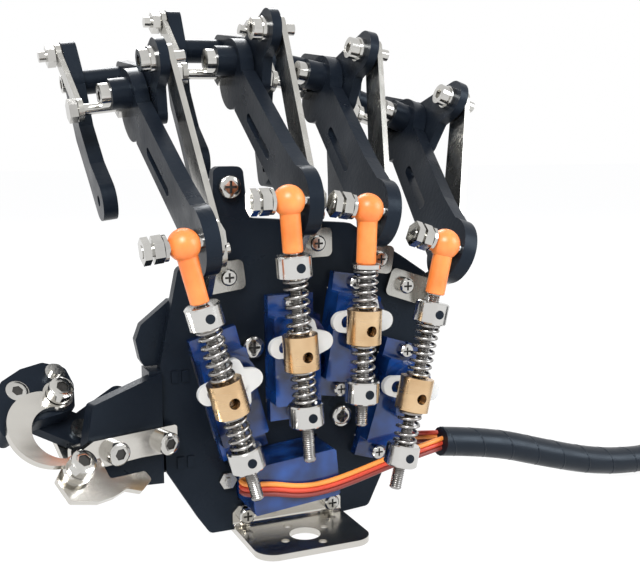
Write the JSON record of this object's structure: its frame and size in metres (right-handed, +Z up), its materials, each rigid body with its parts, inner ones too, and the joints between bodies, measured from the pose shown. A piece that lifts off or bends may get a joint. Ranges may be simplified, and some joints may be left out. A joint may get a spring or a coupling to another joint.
{
  "type": "robot hand",
  "caption": "Servo driven robot hand of cut plates: linked fingers with sprung push rods, a linked thumb and a wrist flange.",
  "frame": {"origin": "centre of the large hole of the wrist flange, on the flange's underside", "axes": "+Z up along the palm to the fingers, +X across the palm to the little finger, the servos face -Y and the fingers curl to +Y"},
  "size_m": [0.2895, 0.1165, 0.1352],
  "materials": {
    "black_plate": "satin black",
    "steel_sheet": "polished",
    "steel": "bright",
    "servo_blue": "translucent blue",
    "horn_white": "plain",
    "orange_plastic": "plain",
    "brass": "turned",
    "sleeve": "wound",
    "wires": "orange, red and brown",
    "plug": "plain"
  },
  "bodies": {
    "palm": {"base_bracket": "steel_sheet", "palm_plate": "black_plate", "servo_index": "servo_blue", "servo_middle": "servo_blue", "servo_ring": "servo_blue", "servo_little": "servo_blue", "servo_thumb": "servo_blue", "knuckle_brackets": "steel_sheet", "palm_bolts": "steel", "thumb_base": "black_plate", "thumb_bracket": "steel_sheet", "servo_leads": "wires", "cable_sleeve": "sleeve", "cable_coil": "sleeve", "cable_plug": "plug"},
    "index_proximal": {"proximal_plate_index": "black_plate"},
    "index_middle": {"middle_plate_index": "black_plate"},
    "index_distal": {"distal_plate_index": "black_plate"},
    "index_long_link": {"long_link_index": "steel_sheet"},
    "index_short_link": {"short_link_index": "steel_sheet"},
    "index_push_rod": {"ball_end_index": "orange_plastic", "push_rod_index": "steel", "drive_block_index": "brass"},
    "index_horn": {"servo_horn_index": "horn_white"},
    "middle_proximal": {"proximal_plate_middle": "black_plate"},
    "middle_middle": {"middle_plate_middle": "black_plate"},
    "middle_distal": {"distal_plate_middle": "black_plate"},
    "middle_long_link": {"long_link_middle": "steel_sheet"},
    "middle_short_link": {"short_link_middle": "steel_sheet"},
    "middle_push_rod": {"ball_end_middle": "orange_plastic", "push_rod_middle": "steel", "drive_block_middle": "brass"},
    "middle_horn": {"servo_horn_middle": "horn_white"},
    "ring_proximal": {"proximal_plate_ring": "black_plate"},
    "ring_middle": {"middle_plate_ring": "black_plate"},
    "ring_distal": {"distal_plate_ring": "black_plate"},
    "ring_long_link": {"long_link_ring": "steel_sheet"},
    "ring_short_link": {"short_link_ring": "steel_sheet"},
    "ring_push_rod": {"ball_end_ring": "orange_plastic", "push_rod_ring": "steel", "drive_block_ring": "brass"},
    "ring_horn": {"servo_horn_ring": "horn_white"},
    "little_proximal": {"proximal_plate_little": "black_plate"},
    "little_middle": {"middle_plate_little": "black_plate"},
    "little_distal": {"distal_plate_little": "black_plate"},
    "little_long_link": {"long_link_little": "steel_sheet"},
    "little_short_link": {"short_link_little": "steel_sheet"},
    "little_push_rod": {"ball_end_little": "orange_plastic", "push_rod_little": "steel", "drive_block_little": "brass"},
    "little_horn": {"servo_horn_little": "horn_white"},
    "thumb_crank": {"thumb_crank": "black_plate"},
    "thumb_tip": {"thumb_block": "black_plate"},
    "thumb_link": {"thumb_link": "steel_sheet"},
    "thumb_horn": {"thumb_horn": "horn_white"},
    "thumb_drag_link": {"drag_link": "steel"}
  },
  "joints": [
    {"name": "index_knuckle", "type": "hinge", "parent": "palm", "child": "index_proximal", "pos_m": [-0.0235, -0.002, 0.07643], "axis": [0.9923, 0, 0.1236], "range_deg": [-15, 35]},
    {"name": "index_middle_joint", "type": "hinge", "parent": "index_proximal", "child": "index_middle", "pos_m": [-0.02788, 0.0415, 0.11116], "axis": [0.9923, 0, 0.1236], "range_deg": [-7.7, 17.7]},
    {"name": "index_tip_joint", "type": "hinge", "parent": "index_middle", "child": "index_distal", "pos_m": [-0.04317, 0.066, 0.11378], "axis": [0.9923, 0, 0.1236], "range_deg": [-8.6, 19.8]},
    {"name": "index_long_link_pivot", "type": "hinge", "parent": "index_middle", "child": "index_long_link", "pos_m": [-0.02592, 0.026, 0.11845], "axis": [0.9923, 0, 0.1236], "range_deg": [-19.48, 8.46]},
    {"name": "index_short_link_pivot", "type": "hinge", "parent": "index_proximal", "child": "index_short_link", "pos_m": [-0.04393, 0.048, 0.10613], "axis": [0.9923, 0, 0.1236], "range_deg": [-10.34, 23.86]},
    {"name": "index_ball_joint", "type": "hinge", "parent": "index_proximal", "child": "index_push_rod", "pos_m": [-0.0318, -0.008, 0.0759], "axis": [0.9923, 0, 0.1236], "range_deg": [-35.95, 15.52]},
    {"name": "index_servo_shaft", "type": "hinge", "parent": "palm", "child": "index_horn", "pos_m": [-0.01729, -0.002, 0.04204], "axis": [0, -1, 0], "range_deg": [-14.81, 34.29]},
    {"name": "middle_knuckle", "type": "hinge", "parent": "palm", "child": "middle_proximal", "pos_m": [0.00121, -0.002, 0.08456], "axis": [0.9998, 0, 0.0192], "range_deg": [-15, 35]},
    {"name": "middle_middle_joint", "type": "hinge", "parent": "middle_proximal", "child": "middle_middle", "pos_m": [0.00049, 0.0415, 0.11955], "axis": [0.9998, 0, 0.0192], "range_deg": [-7.7, 17.7]},
    {"name": "middle_tip_joint", "type": "hinge", "parent": "middle_middle", "child": "middle_distal", "pos_m": [-0.01445, 0.066, 0.12377], "axis": [0.9998, 0, 0.0192], "range_deg": [-8.6, 19.8]},
    {"name": "middle_long_link_pivot", "type": "hinge", "parent": "middle_middle", "child": "middle_long_link", "pos_m": [0.0032, 0.026, 0.1266], "axis": [0.9998, 0, 0.0192], "range_deg": [-19.48, 8.46]},
    {"name": "middle_short_link_pivot", "type": "hinge", "parent": "middle_proximal", "child": "middle_short_link", "pos_m": [-0.016, 0.048, 0.11624], "axis": [0.9998, 0, 0.0192], "range_deg": [-10.34, 23.86]},
    {"name": "middle_ball_joint", "type": "hinge", "parent": "middle_proximal", "child": "middle_push_rod", "pos_m": [-0.0071, -0.008, 0.0849], "axis": [0.9998, 0, 0.0192], "range_deg": [-35.95, 15.52]},
    {"name": "middle_servo_shaft", "type": "hinge", "parent": "palm", "child": "middle_horn", "pos_m": [0.00078, -0.002, 0.05013], "axis": [0, -1, 0], "range_deg": [-14.81, 34.29]},
    {"name": "ring_knuckle", "type": "hinge", "parent": "palm", "child": "ring_proximal", "pos_m": [0.02102, -0.002, 0.08069], "axis": [0.9874, 0, -0.1582], "range_deg": [-15, 35]},
    {"name": "ring_middle_joint", "type": "hinge", "parent": "ring_proximal", "child": "ring_middle", "pos_m": [0.0265, 0.0415, 0.11526], "axis": [0.9874, 0, -0.1582], "range_deg": [-7.7, 17.7]},
    {"name": "ring_tip_joint", "type": "hinge", "parent": "ring_middle", "child": "ring_distal", "pos_m": [0.01255, 0.066, 0.12205], "axis": [0.9874, 0, -0.1582], "range_deg": [-8.6, 19.8]},
    {"name": "ring_long_link_pivot", "type": "hinge", "parent": "ring_middle", "child": "ring_long_link", "pos_m": [0.03042, 0.026, 0.12172], "axis": [0.9874, 0, -0.1582], "range_deg": [-19.48, 8.46]},
    {"name": "ring_short_link_pivot", "type": "hinge", "parent": "ring_proximal", "child": "ring_short_link", "pos_m": [0.00969, 0.048, 0.11492], "axis": [0.9874, 0, -0.1582], "range_deg": [-10.34, 23.86]},
    {"name": "ring_ball_joint", "type": "hinge", "parent": "ring_proximal", "child": "ring_push_rod", "pos_m": [0.0129, -0.008, 0.0825], "axis": [0.9874, 0, -0.1582], "range_deg": [-35.95, 15.52]},
    {"name": "ring_servo_shaft", "type": "hinge", "parent": "palm", "child": "ring_horn", "pos_m": [0.01712, -0.002, 0.05437], "axis": [0, -1, 0], "range_deg": [-14.81, 34.29]},
    {"name": "little_knuckle", "type": "hinge", "parent": "palm", "child": "little_proximal", "pos_m": [0.0417, -0.002, 0.07017], "axis": [0.9472, 0, -0.3206], "range_deg": [-15, 35]},
    {"name": "little_middle_joint", "type": "hinge", "parent": "little_proximal", "child": "little_middle", "pos_m": [0.05288, 0.0415, 0.10333], "axis": [0.9472, 0, -0.3206], "range_deg": [-7.7, 17.7]},
    {"name": "little_tip_joint", "type": "hinge", "parent": "little_middle", "child": "little_distal", "pos_m": [0.04025, 0.066, 0.11236], "axis": [0.9472, 0, -0.3206], "range_deg": [-8.6, 19.8]},
    {"name": "little_long_link_pivot", "type": "hinge", "parent": "little_middle", "child": "little_long_link", "pos_m": [0.05782, 0.026, 0.10905], "axis": [0.9472, 0, -0.3206], "range_deg": [-19.48, 8.46]},
    {"name": "little_short_link_pivot", "type": "hinge", "parent": "little_proximal", "child": "little_short_link", "pos_m": [0.03624, 0.048, 0.1058], "axis": [0.9472, 0, -0.3206], "range_deg": [-10.34, 23.86]},
    {"name": "little_ball_joint", "type": "hinge", "parent": "little_proximal", "child": "little_push_rod", "pos_m": [0.034, -0.008, 0.0733], "axis": [0.9472, 0, -0.3206], "range_deg": [-35.95, 15.52]},
    {"name": "little_servo_shaft", "type": "hinge", "parent": "palm", "child": "little_horn", "pos_m": [0.03094, -0.002, 0.03549], "axis": [0, -1, 0], "range_deg": [-14.81, 34.29]},
    {"name": "thumb_base_joint", "type": "hinge", "parent": "palm", "child": "thumb_crank", "pos_m": [-0.05252, 0.01399, 0.02905], "axis": [0.2418, -0.6645, 0.7071], "range_deg": [-12, 20]},
    {"name": "thumb_tip_joint", "type": "hinge", "parent": "thumb_crank", "child": "thumb_tip", "pos_m": [-0.0669, 0.01493, 0.03895], "axis": [0.2418, -0.6645, 0.7071], "range_deg": [-9.8, 16.2]},
    {"name": "thumb_link_pivot", "type": "hinge", "parent": "palm", "child": "thumb_link", "pos_m": [-0.0551, -0.0023, 0.0265], "axis": [0.2418, -0.6645, 0.7071], "range_deg": [-3.26, 5.3]},
    {"name": "thumb_servo_shaft", "type": "hinge", "parent": "palm", "child": "thumb_horn", "pos_m": [-0.00807, 0.031, 0.0145], "axis": [0, 1, 0], "range_deg": [-31.46, 18.96]},
    {"name": "thumb_drag_pivot", "type": "hinge", "parent": "thumb_horn", "child": "thumb_drag_link", "pos_m": [-0.00277, 0.031, 0.0205], "axis": [0.0377, 0.9919, -0.1211], "range_deg": [-20.15, 33.45]}
  ],
  "couplings": [
    {"joint": "index_middle_joint", "follows": "index_knuckle", "ratio": 0.5},
    {"joint": "index_tip_joint", "follows": "index_knuckle", "ratio": 0.56},
    {"joint": "index_long_link_pivot", "follows": "index_knuckle", "ratio": -0.551},
    {"joint": "index_short_link_pivot", "follows": "index_knuckle", "ratio": 0.676},
    {"joint": "index_ball_joint", "follows": "index_knuckle", "ratio": -1.0215},
    {"joint": "index_servo_shaft", "follows": "index_knuckle", "ratio": 0.974},
    {"joint": "middle_middle_joint", "follows": "middle_knuckle", "ratio": 0.5},
    {"joint": "middle_tip_joint", "follows": "middle_knuckle", "ratio": 0.56},
    {"joint": "middle_long_link_pivot", "follows": "middle_knuckle", "ratio": -0.551},
    {"joint": "middle_short_link_pivot", "follows": "middle_knuckle", "ratio": 0.676},
    {"joint": "middle_ball_joint", "follows": "middle_knuckle", "ratio": -1.0215},
    {"joint": "middle_servo_shaft", "follows": "middle_knuckle", "ratio": 0.974},
    {"joint": "ring_middle_joint", "follows": "ring_knuckle", "ratio": 0.5},
    {"joint": "ring_tip_joint", "follows": "ring_knuckle", "ratio": 0.56},
    {"joint": "ring_long_link_pivot", "follows": "ring_knuckle", "ratio": -0.551},
    {"joint": "ring_short_link_pivot", "follows": "ring_knuckle", "ratio": 0.676},
    {"joint": "ring_ball_joint", "follows": "ring_knuckle", "ratio": -1.0215},
    {"joint": "ring_servo_shaft", "follows": "ring_knuckle", "ratio": 0.974},
    {"joint": "little_middle_joint", "follows": "little_knuckle", "ratio": 0.5},
    {"joint": "little_tip_joint", "follows": "little_knuckle", "ratio": 0.56},
    {"joint": "little_long_link_pivot", "follows": "little_knuckle", "ratio": -0.551},
    {"joint": "little_short_link_pivot", "follows": "little_knuckle", "ratio": 0.676},
    {"joint": "little_ball_joint", "follows": "little_knuckle", "ratio": -1.0215},
    {"joint": "little_servo_shaft", "follows": "little_knuckle", "ratio": 0.974},
    {"joint": "thumb_tip_joint", "follows": "thumb_base_joint", "ratio": 0.8},
    {"joint": "thumb_link_pivot", "follows": "thumb_base_joint", "ratio": 0.255},
    {"joint": "thumb_servo_shaft", "follows": "thumb_base_joint", "ratio": -1.563},
    {"joint": "thumb_drag_pivot", "follows": "thumb_base_joint", "ratio": 1.6626}
  ]
}
